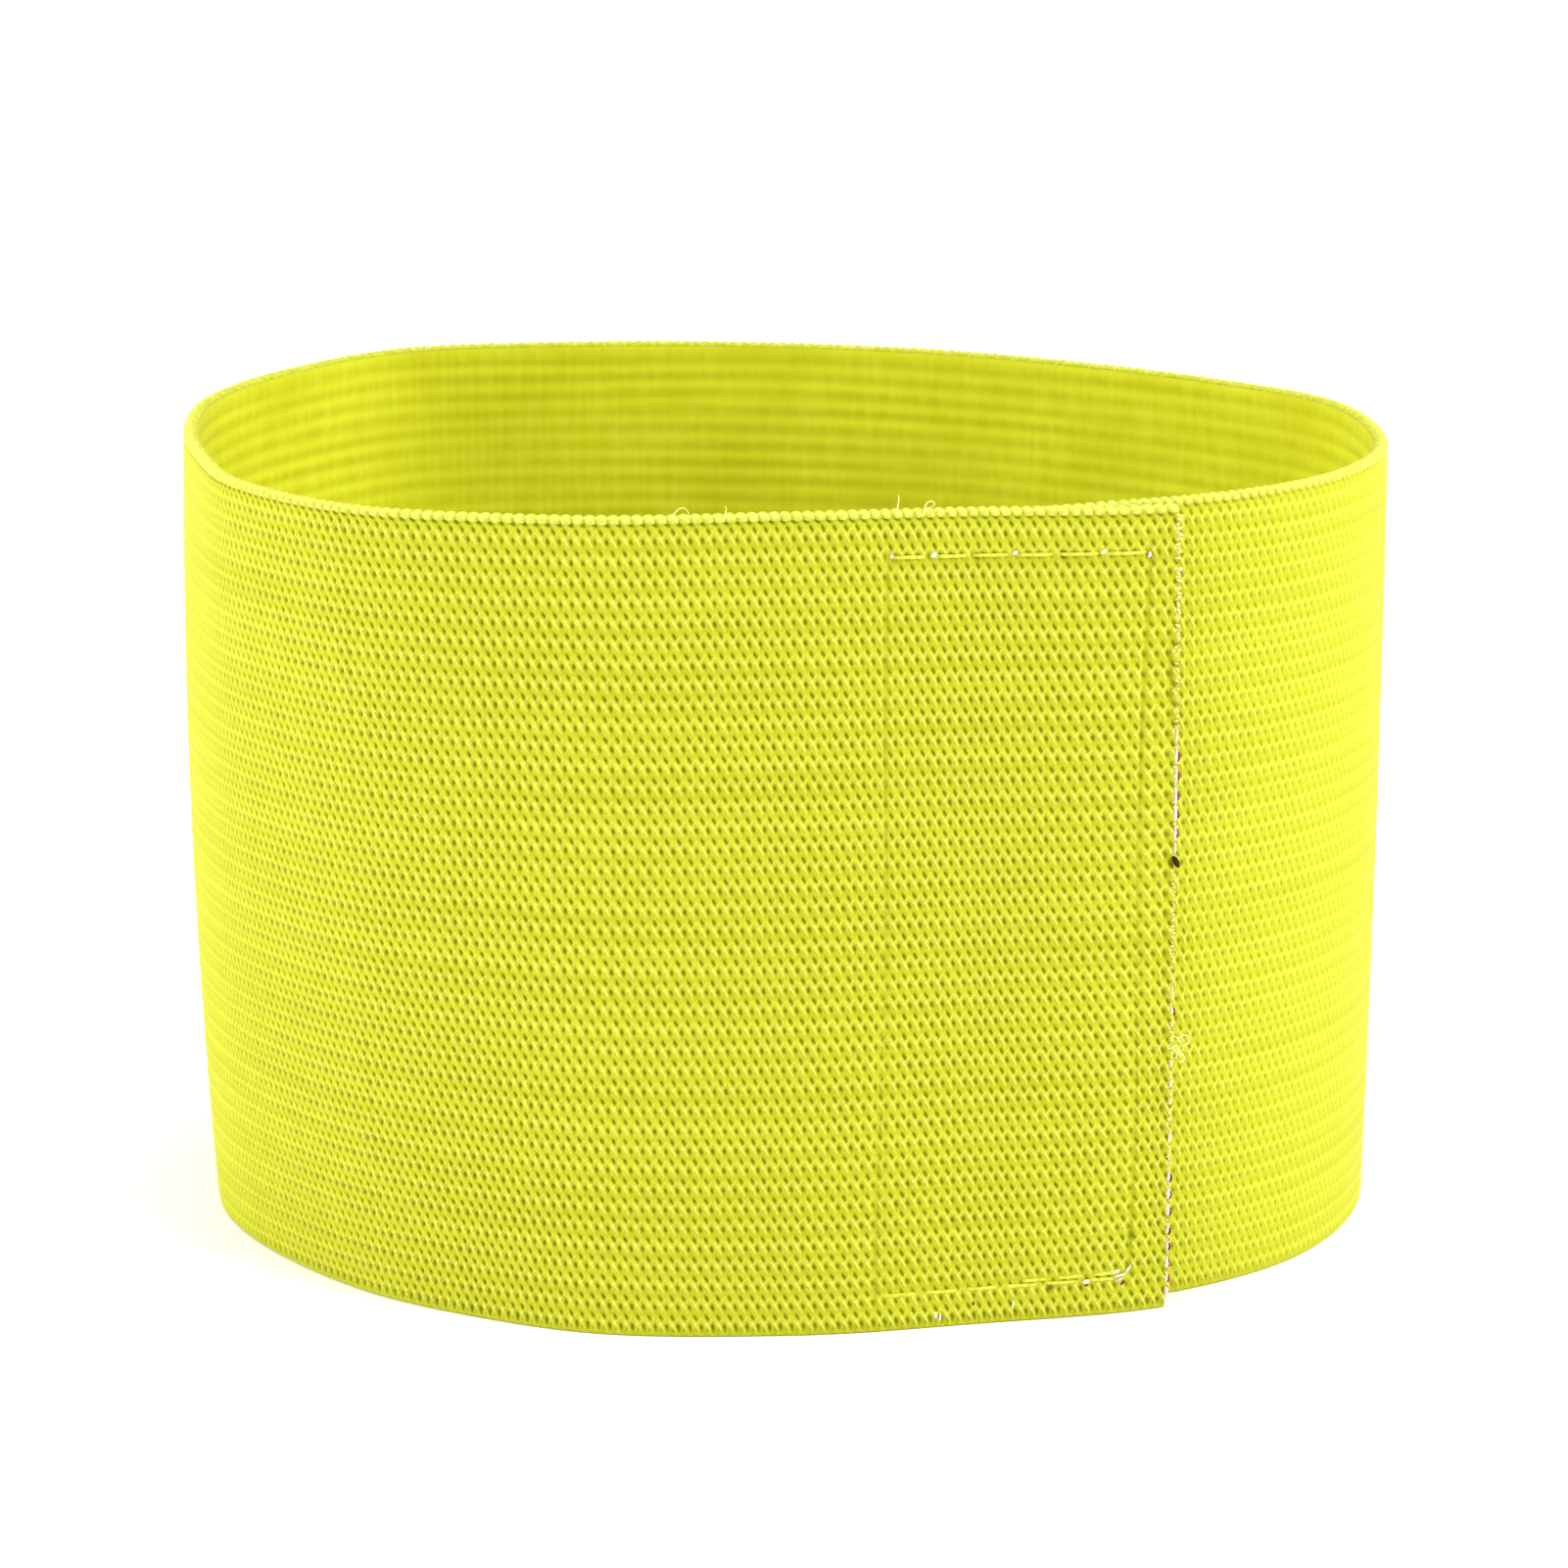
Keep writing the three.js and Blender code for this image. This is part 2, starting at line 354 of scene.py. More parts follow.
def laid_face(tree):
    """The same web's inner face, where the yarn is laid over the rubber. To the eye it is ribbed
    round the band, light on each rib, dark between them, with faint uprights."""
    uv = add(tree, "UVMap", uv_map="knit")
    column, row = add(tree, "SeparateXYZ", {0: uv}).node.outputs[:2]
    across = add(tree, "Math", {0: column, 1: TURN}, operation="MULTIPLY")
    across = add(tree, "Math", {0: across}, operation="COSINE")
    down = add(tree, "Math", {0: row, 1: TURN}, operation="MULTIPLY")
    down = add(tree, "Math", {0: down}, operation="COSINE")
    long_way = add(tree, "Mapping", {0: uv, 3: (0.03, 0.6, 1.0)})
    strong = add(tree, "TexNoise", {"Vector": long_way, "Scale": 1.0, "Detail": 1.0})
    strong = add(tree, "MapRange", {0: strong, 1: 0.35, 2: 0.65, 3: 0.14, 4: 0.40})
    rib = add(tree, "Math", {0: down, 1: strong, 2: 0.5}, operation="MULTIPLY_ADD", use_clamp=True)
    tone = add(tree, "Mix", {0: rib, 6: colour(LAID_DARK), 7: colour(LAID_LIGHT)}, 2,
               data_type="RGBA")
    upright = add(tree, "Mapping", {0: uv, 3: (0.9, 0.3, 1.0)})
    upright = add(tree, "TexNoise", {"Vector": upright, "Scale": 1.0, "Detail": 2.0})
    upright = add(tree, "MapRange", {0: upright, 1: 0.40, 2: 0.62, 3: 0.0, 4: 0.24})
    tone = add(tree, "Mix", {0: upright, 6: tone, 7: colour(LAID_BRIGHT)}, 2, data_type="RGBA")
    # Where hands have pressed the cloth it is a little duller, in patches
    worn = add(tree, "Mapping", {0: uv, 3: (0.06, 0.12, 1.0)})
    worn = add(tree, "TexNoise", {"Vector": worn, "Scale": 1.0, "Detail": 2.0})
    worn = add(tree, "MapRange", {0: worn, 1: 0.4, 2: 0.65, 3: 0.0, 4: 0.35})
    tone = add(tree, "Mix", {0: worn, 6: tone, 7: colour(LAID_DARK)}, 2, data_type="RGBA")
    height = add(tree, "Math", {0: across, 1: 0.3, 2: down}, operation="MULTIPLY_ADD")
    bump = add(tree, "Bump", {"Height": height, "Distance": 0.03 * MM, "Strength": 1.0})
    return {"Base Color": tone, "Roughness": 0.8, "Sheen Weight": 0.15, "Normal": bump, **FABRIC}


def bead_face(tree):
    """Loops of the yarn whipped over the edge. To the eye they are its brightest part, each a light
    round lump with a green-yellow notch beside it. The dark in the notch, under each lump and on
    its inner side is painted shade, mixed with random blotches."""
    notch = add(tree, "Attribute", out="Fac", attribute_name="shade")
    place = add(tree, "TexCoord", out="Object")
    blotch = add(tree, "TexNoise", {"Vector": place, "Scale": 1 / (0.40 * MM), "Detail": 2.0})
    uneven = add(tree, "MapRange", {0: blotch, 1: 0.35, 2: 0.65, 3: 0.0, 4: 0.55})
    # Painted shade in the notches, under the beads and on their inner side, with random blotches
    dark = add(tree, "Math", {0: notch, 1: uneven}, operation="ADD", use_clamp=True)
    tone = add(tree, "Mix", {0: dark, 6: colour(BEAD_LIGHT), 7: colour(BEAD_SHADE)}, 2,
               data_type="RGBA")
    bump = add(tree, "Bump", {"Height": blotch, "Distance": 0.06 * MM, "Strength": 1.0})
    return {"Base Color": tone, "Roughness": 0.7, "Sheen Weight": 0.25, "Normal": bump, **FABRIC}


def thread_face(light, dark, blotch_mm, rough, bump_mm):
    """Shading for a thread, cut end or tape: two close tones in blotches of a given size, with
    the same blotches raised."""
    def shading(tree):
        place = add(tree, "TexCoord", out="Object")
        blotch = add(tree, "TexNoise",
                     {"Vector": place, "Scale": 1 / (blotch_mm * MM), "Detail": 2.0})
        share = add(tree, "MapRange", {0: blotch, 1: 0.35, 2: 0.65, 3: 0.0, 4: 1.0})
        tone = add(tree, "Mix", {0: share, 6: colour(dark), 7: colour(light)}, 2, data_type="RGBA")
        bump = add(tree, "Bump", {"Height": blotch, "Distance": bump_mm * MM, "Strength": 1.0})
        return {"Base Color": tone, "Roughness": rough, "Sheen Weight": 0.2,
                "Normal": bump, **FABRIC}
    return shading


knit = finish_material("warp_knit_elastic", knit_face)
laid = finish_material("laid_yarn_face", laid_face)
edge_yarn = finish_material("whipped_edge_yarn", bead_face)
# Spun polyester, twisted tight: a smooth thread a little glossier than the cloth, in its colour
sewing_thread = finish_material("spun_sewing_thread",
                                thread_face("D8DA50", "BEC034", 0.4, 0.5, 0.02))
# Undyed bobbin thread, twisted: small clean white knots with a pinkish shade
bobbin_thread = finish_material("undyed_bobbin_thread",
                                thread_face("F4EEE8", "DCBCB8", 0.8, 0.6, 0.02))
# Cover yarn cut through with the web: a soft cream fringe with peach at its tips
cover_ends = finish_material("cut_cover_yarn", thread_face("F0EC9A", "DEC080", 0.35, 0.9, 0.03))
# Extruded rubber thread, cut: smooth chalky white dashes
rubber_ends = finish_material("cut_rubber_thread",
                              thread_face("EEE6E0", "D8BFB8", 0.9, 0.6, 0.01))
# Dyed core yarn beside the rubber, cut: dark red points, the yarn's red with painted shadow at the
# cut's edge
core_ends = finish_material("cut_core_yarn", thread_face("A04450", "6A1C2C", 0.9, 0.8, 0.02))
# A dull dark brown bead in one gap of the cut: painted shadow where the gap lies in shade
painted_gap_shadow = finish_material("painted_gap_shadow", thread_face("3C3410", "221C04", 0.4, 0.8, 0.02))
# Filaments sprung from the web: bright pale hairs
hair_yarn = finish_material("loose_filament", thread_face("F2F2A0", "E2DC7C", 0.7, 0.5, 0.01))
# Knitted loops brushed open: a deep cream nap without gloss
brushed_loops = finish_material("brushed_loop_pile",
                                thread_face("E6E4D2", "C8C4AC", 0.7, 0.95, 0.10))
# Nylon moulded in one with its tape: smooth, pale and slightly glossy
moulded_hooks = finish_material("moulded_nylon_hooks",
                                thread_face("E8E6DC", "D4D0C0", 2.0, 0.4, 0.01))


# Meshes

def make_piece(name, points, faces, material,
               uv=None, material_rows=None, marks=None, sharp=None):
    """A mesh piece from points and arrays of faces, each array with one number of corners."""
    corner = np.concatenate([np.asarray(part).reshape(-1) for part in faces])
    size = np.concatenate([np.full(len(part), part.shape[1]) for part in faces])
    mesh = bpy.data.meshes.new(name)
    mesh.vertices.add(len(points))
    mesh.loops.add(len(corner))
    mesh.polygons.add(len(size))
    mesh.vertices.foreach_set("co", np.asarray(points, np.float32).ravel())
    mesh.loops.foreach_set("vertex_index", corner.astype(np.int32))
    mesh.polygons.foreach_set("loop_start", (np.cumsum(size) - size).astype(np.int32))
    mesh.polygons.foreach_set("use_smooth", np.ones(len(size), bool))
    mesh.update(calc_edges=True)
    if uv is not None:
        layer = mesh.uv_layers.new(name="knit")
        layer.data.foreach_set("uv", np.asarray(uv, np.float32)[corner].ravel())
    for mark, values in (marks or {}).items():
        layer = mesh.attributes.new(mark, "FLOAT", "POINT")
        layer.data.foreach_set("value", np.asarray(values, np.float32))
    for one in material if isinstance(material, tuple) else (material,):
        mesh.materials.append(one)
    if material_rows is not None:
        mesh.polygons.foreach_set("material_index", np.concatenate(material_rows).astype(np.int32))
    if sharp is not None:
        mesh.set_sharp_from_angle(angle=np.radians(sharp))
    mesh.validate()
    piece = bpy.data.objects.new(name, mesh)
    bpy.context.scene.collection.objects.link(piece)
    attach(piece, "root")
    return piece


def lofted(points):
    """Points and faces of closed bodies, each a run of rings of points: four-cornered faces from
    ring to ring and a cap at either end, turned to face away from the rings' middles."""
    bodies, rings, sides = points.shape[:3]
    number = np.arange(bodies * rings * sides).reshape(bodies, rings, sides)
    beside = np.roll(number, -1, 2)
    quads = np.stack([number[:, :-1], beside[:, :-1], beside[:, 1:], number[:, 1:]], -1)
    quads = quads.reshape(-1, 4)
    caps = np.concatenate([number[:, 0, ::-1], number[:, -1]])
    across = np.roll(points, -1, 2)[:, :-1] - points[:, :-1]
    onward = points[:, 1:] - points[:, :-1]
    away = points[:, :-1] - points[:, :-1].mean(2, keepdims=True)
    if (np.cross(across, onward) * away).sum() < 0:
        quads, caps = quads[:, ::-1], caps[:, ::-1]
    return points.reshape(-1, 3), [quads, caps]


def tubes(paths, radii, sides):
    """Rings for tubes: round each point of each path, a ring of the given radius square to it."""
    paths = np.asarray(paths, float)
    ahead = np.gradient(paths, axis=1)
    ahead /= np.maximum(np.linalg.norm(ahead, axis=-1, keepdims=True), 1e-12)
    side = np.cross(ahead, (0.31, 0.57, 0.76))
    side /= np.linalg.norm(side, axis=-1, keepdims=True)
    over = np.cross(ahead, side)
    angle = np.arange(sides)[:, None] * TURN / sides
    ring = np.cos(angle) * side[..., None, :] + np.sin(angle) * over[..., None, :]
    return paths[..., None, :] + ring * np.broadcast_to(radii, paths.shape[:2])[..., None, None]


# The web, in five lengths

def wander(column, row, seed, across, down):
    """Slow unevenness from -1 to 1: three crossing waves of unlike lengths."""
    draw = np.random.default_rng(seed)
    total = 0
    for _ in range(3):
        a, b, c = draw.uniform(0.6, 1.7), draw.uniform(-1.4, 1.4), draw.uniform(0, TURN)
        total = total + np.sin(TURN * (a * column / across + b * row / down) + c)
    return total / 3


def height_of_row(row, along):
    """Height of a row. The pairs lie a little closer together towards the lower edge."""
    share = 1 - row / ROW_PAIRS
    gathered = share + ROW_GATHER * share * (share - 1)
    return LOWEST_PITS + (strip_top(along) - HIGHEST_PITS - LOWEST_PITS) * gathered


def seam_drift(height):
    """How far an upright seam has leant back from its upper end, in proportion to the drop."""
    return SEAM_LEAN * (1 - height / SEAM_TOP)


def seam_pull(back, height):
    """How strongly the tape's seams pull the flap's face in, from 0 to 1: along the four sides
    of their box, by the distance from each. The upright ones lean back as they go down."""
    back = back - seam_drift(height)
    below_top = 1 - smooth_rise(height, SEAM_TOP, SEAM_TOP + MM)
    inside_height = smooth_rise(height, SEAM_FOOT - MM, SEAM_FOOT) * below_top
    before_left = 1 - smooth_rise(back, SEAM_LEFT, SEAM_LEFT + MM)
    inside_length = smooth_rise(back, SEAM_RIGHT - MM, SEAM_RIGHT) * before_left
    upright = 0.8 * bell(back, SEAM_LEFT, 0.35 * MM) + 0.7 * bell(back, SEAM_RIGHT, 0.32 * MM)
    level = bell(height, SEAM_FOOT, 0.4 * MM) + bell(height, SEAM_TOP, 0.4 * MM)
    return np.clip(upright * inside_height + level * inside_length, 0, 1)


def pits_open(along, back):
    """How open the pits are: the web is stretched round the two bends, and its pits close by a
    bell of the distance from each."""
    left_bend = 0.80 * bell(back, 106 * MM, 17 * MM) + 0.17 * bell(back, 76 * MM, 14 * MM)
    return 1 - left_bend - 0.80 * bell(along, 60 * MM, 34 * MM)


# Single deep places in the flap's face: back from its edge, height, half width, half height and
# depth in mm, and how dark their painted shade is. They are a gap in the cut, whose painted shadow
# is nearly black, needle holes of the upper seam, a dropped stitch and a knot.
DEEP_PLACES = (
    (0.12, 39.4, 0.30, 0.45, 0.12, 1.3), (3.35, 6.8, 0.25, 0.35, 0.25, 0.7),
    (9.9, 2.8, 0.3, 0.3, 0.25, 0.8), (16.4, 66.1, 0.22, 0.32, 0.3, 1.0),
    (9.1, 66.1, 0.22, 0.32, 0.3, 1.0), (23.7, 66.0, 0.22, 0.30, 0.2, 0.5),
)


def face_shade(back, height, row, pull):
    """Painted shade on the flap's face, where it lies in its own shade, from 0 to 1, and over 1 for
    the painted shadow in a gap of the cut: in the seams' grooves and under the upper seam's thread,
    once in a row pair beside the cut, in a groove beside its upper part, and in the single deep
    places."""
    drift = seam_drift(height)
    right_groove = bell(back - drift, SEAM_RIGHT, 0.15 * MM)
    right_groove = right_groove * smooth_rise(height, SEAM_FOOT, 5 * MM)
    left_groove = bell(back - drift, SEAM_LEFT, 0.17 * MM)
    left_groove = left_groove * (0.6 + 0.4 * np.cos(TURN * height / STITCH))
    below_top_seam = bell(height, SEAM_TOP - 0.30 * MM, 0.16 * MM)
    below_top_seam = below_top_seam * smooth_rise(SEAM_LEFT - back, 0, MM)
    patches = 0.5 + 0.5 * wander(0.0, row, 14, 7.0, 16.0)
    beside_cut = patches * bell(back, 0.60 * MM, 0.17 * MM)
    beside_cut = beside_cut * (0.4 + 0.4 * np.cos(TURN * (row - 0.1)))
    upper_groove = 0.7 * bell(back, 0.45 * MM, 0.20 * MM) * bell(height, 55.2 * MM, 3.2 * MM)
    shade = 0.42 * right_groove + 0.45 * left_groove + 0.22 * below_top_seam
    shade = shade * (pull > 0.05) + (beside_cut + upper_groove)
    for place, level, half_width, half_height, _, dark in DEEP_PLACES:
        across = bell(back, place * MM, half_width * MM)
        shade = shade + dark * across * bell(height, level * MM, half_height * MM)
    return shade


def web_section():
    """The section's rows: the outer face's rows and the depth at which its edges round off, and
    the inner face's ribs and the same."""
    rows = (np.arange(-1, ROW_PAIRS + 1)[:, None] + np.array(ROW_PHASES)).ravel()
    rows = rows[(rows > -0.9) & (rows < ROW_PAIRS + 0.3)]
    outer_row = np.concatenate([[-1.05], rows, [39.33, 39.43, 39.50, 39.536]])
    outer_depth = np.concatenate([[0.3], np.zeros(len(rows)), [0.0, 0.05, 0.19, 0.35]]) * MM
    ribs = np.arange(1, RIBS * RIB_STEPS) / RIB_STEPS
    inner_rib = np.concatenate([[-0.18, -0.1], ribs, [RIBS + 0.15]])
    inner_depth = np.concatenate([[0.35, 0.1], np.zeros(len(ribs)), [0.1]]) * MM
    return outer_row[:, None], outer_depth[:, None], inner_rib[:, None], inner_depth[:, None]


def fan(many, few):
    """Triangles between a row of points and a row with fewer: each step of the first goes to
    the nearest point of the second, and each step of the second to the point between."""
    each = (len(many) - 1) // (len(few) - 1)
    step = np.arange(len(many) - 1)
    spot = np.arange(len(few) - 1)
    nearest = (step + each // 2) // each
    return np.concatenate([
        np.stack([many[:-1], few[nearest], many[1:]], -1),
        np.stack([few[:-1], few[1:], many[spot * each + each - each // 2]], -1)])


def web_length(name, first, last, cell_depth):
    """One length of the web from column to column, a closed solid. Outward from the outer face
    stands RELIEF times strands less pits; into the inner face goes a wave of ribs."""
    outer_row, outer_depth, inner_rib, inner_depth = web_section()
    column = np.linspace(first, last, (last - first) * COLUMN_STEPS + 1)[None, :]
    along = column * COLUMN
    back = STRIP_LENGTH - along
    height = height_of_row(outer_row, along)
    at_ends = bell(back, 0, MM) - bell(along, 0, MM)
    ragged = RAGGED * (1 + wander(3.0, outer_row, 21, 7.0, 2.1)) * at_ends
    shown = smooth_rise(back, 0, 3 * MM) * smooth_rise(along, 0, 3 * MM)
    along_here = along - ragged + COLUMN_WANDER * wander(column, outer_row, 5, 90.0, 40.0) * shown
    pull = seam_pull(back, height)
    nearest_row = np.clip(np.round(outer_row), 0, ROW_PAIRS).astype(int)
    uneven = cell_depth[nearest_row, np.round(column).astype(int)]
    shade = face_shade(back, height, outer_row, pull)
    clear = uneven * (1 - 0.45 * pull) * (1 - smooth_rise(outer_row, *FOOT_FADE))
    clear = clear * pits_open(along, back)
    raised = mark_value(column, outer_row, STRANDS)
    sunk = mark_value(column, outer_row, PITS) + mark_value(column, outer_row, EDGE_PITS, False)
    depth = outer_depth + RELIEF * clear * (sunk - STRAND_RISE * raised) + SEAM_DEPTH * pull
    for place, level, half_width, half_height, deep, _ in DEEP_PLACES:
        depth = depth + (deep * MM * bell(back, place * MM, half_width * MM)
                         * bell(height, level * MM, half_height * MM))
    outer = strip_point(along_here, depth, height)

    inner_column = np.linspace(first, last, (last - first) // INNER_COLUMNS + 1)[None, :]
    inner_along = inner_column * COLUMN
    rib_height = 0.25 * MM + (strip_top(inner_along) - 0.95 * MM) * inner_rib / RIBS
    strength = 0.7 + 0.3 * wander(inner_column, inner_rib, 9, 80.0, 8.0)
    groove = RIB_DEPTH * strength * (0.5 - 0.5 * np.cos(TURN * (inner_rib + 0.5))) ** 1.5
    inner = strip_point(inner_along, WALL - inner_depth - groove * (inner_depth == 0),
                        np.maximum(rib_height, 0))

    number = np.arange(outer.shape[0] * outer.shape[1]).reshape(outer.shape[:2])
    beyond = number.size + np.arange(inner.shape[0] * inner.shape[1]).reshape(inner.shape[:2])
    grids = [np.stack([grid[:-1, :-1], grid[1:, :-1], grid[1:, 1:], grid[:-1, 1:]], -1)
             .reshape(-1, 4) for grid in (number, beyond)]
    fans = np.concatenate([fan(number[-1], beyond[0]), fan(number[0], beyond[-1])[:, ::-1]])
    rim = [np.concatenate([number[:, side], beyond[:, side]])[None, :] for side in (0, -1)]
    faces = [*grids, fans, rim[0][:, ::-1], rim[1]]
    rows = [np.full(len(part), index) for part, index in zip(faces, (0, 1, 0, 1, 1))]
    uv = [np.stack(np.broadcast_arrays(a, b), -1).reshape(-1, 2)
          for a, b in ((column, outer_row), (inner_column, inner_rib))]
    points = np.concatenate([outer.reshape(-1, 3), inner.reshape(-1, 3)])
    piece = make_piece(
        name, points, faces, (knit, laid), np.concatenate(uv), rows,
        {"clear": np.concatenate([clear.ravel(), np.ones(beyond.size)]),
         "shade": np.concatenate([shade.ravel(), np.zeros(beyond.size)])}, sharp=70)
    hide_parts("band")


depth_draw = np.random.default_rng(11)
cell_depth = depth_draw.uniform(0.88, 1.12, (ROW_PAIRS + 1, COLUMNS + 1))
ends = np.linspace(0, COLUMNS, len(WEB_NAMES) + 1) / INNER_COLUMNS
ends = (np.round(ends) * INNER_COLUMNS).astype(int)
for index, name in enumerate(WEB_NAMES):
    web_length(name, ends[index], ends[index + 1], cell_depth)


# The beaded upper edge

def edge_beads():
    """Loops whipped over the upper edge: flat rings round a line along the rim, which swell once
    in each column by a half ellipse, with the swelling wound round the line and low on its
    inner side."""
    per_column, sides = 8, 10
    column = np.linspace(0, COLUMNS, COLUMNS * per_column + 1)[:, None]
    angle = np.arange(sides)[None, :] * TURN / sides
    wound = (column + 0.07 * np.sin(angle)) % 1.0
    lump = np.sqrt(1 - (2 * wound - 1) ** 2)
    along = column * COLUMN
    outer_side = smooth_rise(np.cos(angle), -0.3, 0.3)
    inward = 0.63 * MM - (0.54 + (0.04 + 0.14 * outer_side) * lump) * np.cos(angle) * MM
    height = strip_top(along) + (-0.46 + (0.16 + 0.30 * lump) * np.sin(angle)) * MM
    points, faces = lofted(strip_point(along, inward, height)[None])
    # Painted shade: in the notch between beads, under their outer side, and on their inner side
    below = 0.35 * smooth_rise(-np.sin(angle), 0.2, 1.0) * outer_side
    shade = (1 - lump) ** 1.3 * (0.5 + 0.5 * np.cos(angle)) + below + 0.5 * (1 - outer_side)
    beads = make_piece("edge_beads", points, faces, edge_yarn,
                       marks={"shade": shade.ravel()})
    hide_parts("band")


edge_beads()


# Seams of the flap, and of the inner end seen from inside the ring

def seam_lines(side, lines, float_out, dip_in):
    """Stitched lines as paths. Along each line the thread lies on the face and dips in at every
    stitch, by a high power of a cosine. side is 0 for the outer face and WALL for the inner."""
    faces_out = 1 if side == 0 else -1
    paths = []
    for (start, start_height), (end, end_height), sunk in lines:
        count = max(1, int(round(np.hypot(end - start, end_height - start_height) / STITCH)))
        step = np.linspace(0, 1, count * 14 + 1)
        dip = np.abs(np.cos(np.pi * count * step)) ** 8
        inward = side + faces_out * (sunk - float_out + dip_in * dip)
        paths.append(strip_point(start + (end - start) * step, inward,
                                 start_height + (end_height - start_height) * step))
    return paths


def stitch_piece(name, paths, radius, material):
    """One piece from several threads."""
    points, faces, total = [], [], 0
    for path in paths:
        spots, parts = lofted(tubes(path[None], radius, 8))
        points.append(spots)
        faces.extend(part + total for part in parts)
        total += len(spots)
    make_piece(name, np.concatenate(points), faces, material)


def from_edge(back, height):
    """A place on the strip from mm back from the flap's cut edge and mm up."""
    return STRIP_LENGTH - back * MM, height * MM


left, right = SEAM_LEFT / MM, SEAM_RIGHT / MM
top, foot = SEAM_TOP / MM, SEAM_FOOT / MM
lean = SEAM_LEAN / MM
stitch_piece("tape_seam", seam_lines(0.0, (
    (from_edge(left, top), from_edge(right, top - 0.1), 0.10 * MM),
    (from_edge(left + lean, foot), from_edge(right + lean, foot + 0.1), 0.18 * MM),
    (from_edge(12.9, foot + 0.45), from_edge(right + lean, foot + 0.6), 0.16 * MM),
    (from_edge(left, top), from_edge(left + lean, foot), 0.45 * MM),
    (from_edge(right, top), from_edge(right + lean, foot), 0.45 * MM),
), 0.08 * MM, 0.45 * MM), 0.16 * MM, sewing_thread)

inner_left, inner_right = LOOP_SETBACK + 1.2 * MM, LOOP_SETBACK + TAPE_WIDTH - 1.2 * MM
stitch_piece("loop_tape_seam", seam_lines(WALL, (
    ((inner_left, SEAM_TOP - MM), (inner_right, SEAM_TOP - 0.4 * MM), 0.02 * MM),
    ((inner_left, SEAM_FOOT), (inner_right, SEAM_FOOT), 0.02 * MM),
    ((inner_left, SEAM_TOP - MM), (inner_left, SEAM_FOOT), 0.02 * MM),
    ((inner_right, SEAM_TOP - 0.4 * MM), (inner_right, SEAM_FOOT), 0.02 * MM),
), 0.08 * MM, 0.40 * MM), 0.13 * MM, sewing_thread)


def short_threads(name, table, material, sides=6):
    """Short rounded lengths of yarn lying on the strip. Each row gives mm back from the flap's
    edge, mm up, mm inward, length, radius and the degrees that it leans from upright."""
    rows = np.array(table, float)
    back, level, inward, length, radius, lean = rows.T[:, :, None]
    step = np.linspace(-0.5, 0.5, 6)[None, :]
    along = STRIP_LENGTH - (back - length * step * np.sin(np.radians(lean))) * MM
    height = (level + length * step * np.cos(np.radians(lean))) * MM
    hump = 1 - (2 * step) ** 2
    paths = strip_point(along, (inward - 0.15 * hump) * MM, height)
    profile = np.array([0.35, 0.85, 1.0, 1.0, 0.85, 0.35])[None, :] * radius * MM
    points, faces = lofted(tubes(paths, profile, sides))
    make_piece(name, points, faces, material)


# White bobbin thread that shows at every second stitch above, and where the lower seam was
# tied off: mm back, mm up, mm inward, length, radius, lean
short_threads("bobbin_threads", (
    (20.1, 66.35, 0.05, 0.5, 0.20, 60), (13.0, 66.35, 0.06, 0.4, 0.17, 70),
    (5.9, 66.3, 0.06, 0.4, 0.17, 70), (23.8, 66.4, 0.10, 0.4, 0.13, 20),
    (6.85, 3.15, 0.05, 0.55, 0.18, 75), (13.3, 1.55, 0.06, 0.7, 0.07, 15),
    (4.4, 3.85, 0.07, 0.9, 0.09, 85), (4.0, 3.45, 0.05, 1.1, 0.11, 80),
    (4.1, 3.05, 0.07, 0.7, 0.09, 70), (3.3, 3.95, 0.07, 0.9, 0.10, 35),
    (20.3, 1.1, 0.05, 0.6, 0.10, 12), (19.9, 0.9, 0.05, 0.7, 0.10, 8),
    (2.35, 65.9, 0.08, 0.5, 0.14, 15),
), bobbin_thread)
short_threads("core_threads", (
    (3.75, 2.75, 0.08, 0.5, 0.12, 40), (6.8, 2.8, 0.12, 0.4, 0.11, 80),
    (16.95, 1.9, 0.10, 0.3, 0.10, 0),
    (2.3, 65.75, 0.16, 0.35, 0.10, 0), (9.9, 2.8, 0.12, 0.5, 0.08, 85),
), core_ends)


# Cut ends of the web's yarns

# The gap in the cut, where a painted shadow stands, has no other yarn ends: mm up
SHADOWED_GAP_LEVEL = 39.4
# Rubber thread that shows in the cut: mm up, length, radius, and whether core yarn shows beside it
RUBBER = (
    (50.2, 1.7, 0.10, 0), (48.6, 1.8, 0.12, 1), (46.9, 1.8, 0.14, 1), (45.2, 1.8, 0.14, 1),
    (43.6, 1.8, 0.13, 1), (42.0, 1.7, 0.12, 1), (40.5, 1.2, 0.10, 0), (28.1, 0.8, 0.08, 0),
    (26.4, 0.6, 0.12, 1), (25.2, 0.4, 0.10, 0), (21.7, 0.5, 0.13, 0), (20.0, 0.7, 0.14, 0),
    (18.4, 0.5, 0.12, 0), (16.8, 0.4, 0.08, 0), (15.2, 0.9, 0.13, 0), (13.4, 0.5, 0.09, 0),
    (11.7, 1.0, 0.13, 1), (10.2, 1.0, 0.15, 1), (8.7, 1.1, 0.16, 1), (7.0, 0.9, 0.13, 1),
    (5.6, 1.1, 0.13, 1), (4.1, 1.2, 0.14, 1), (2.7, 1.0, 0.13, 1), (1.5, 0.7, 0.22, 0),
)


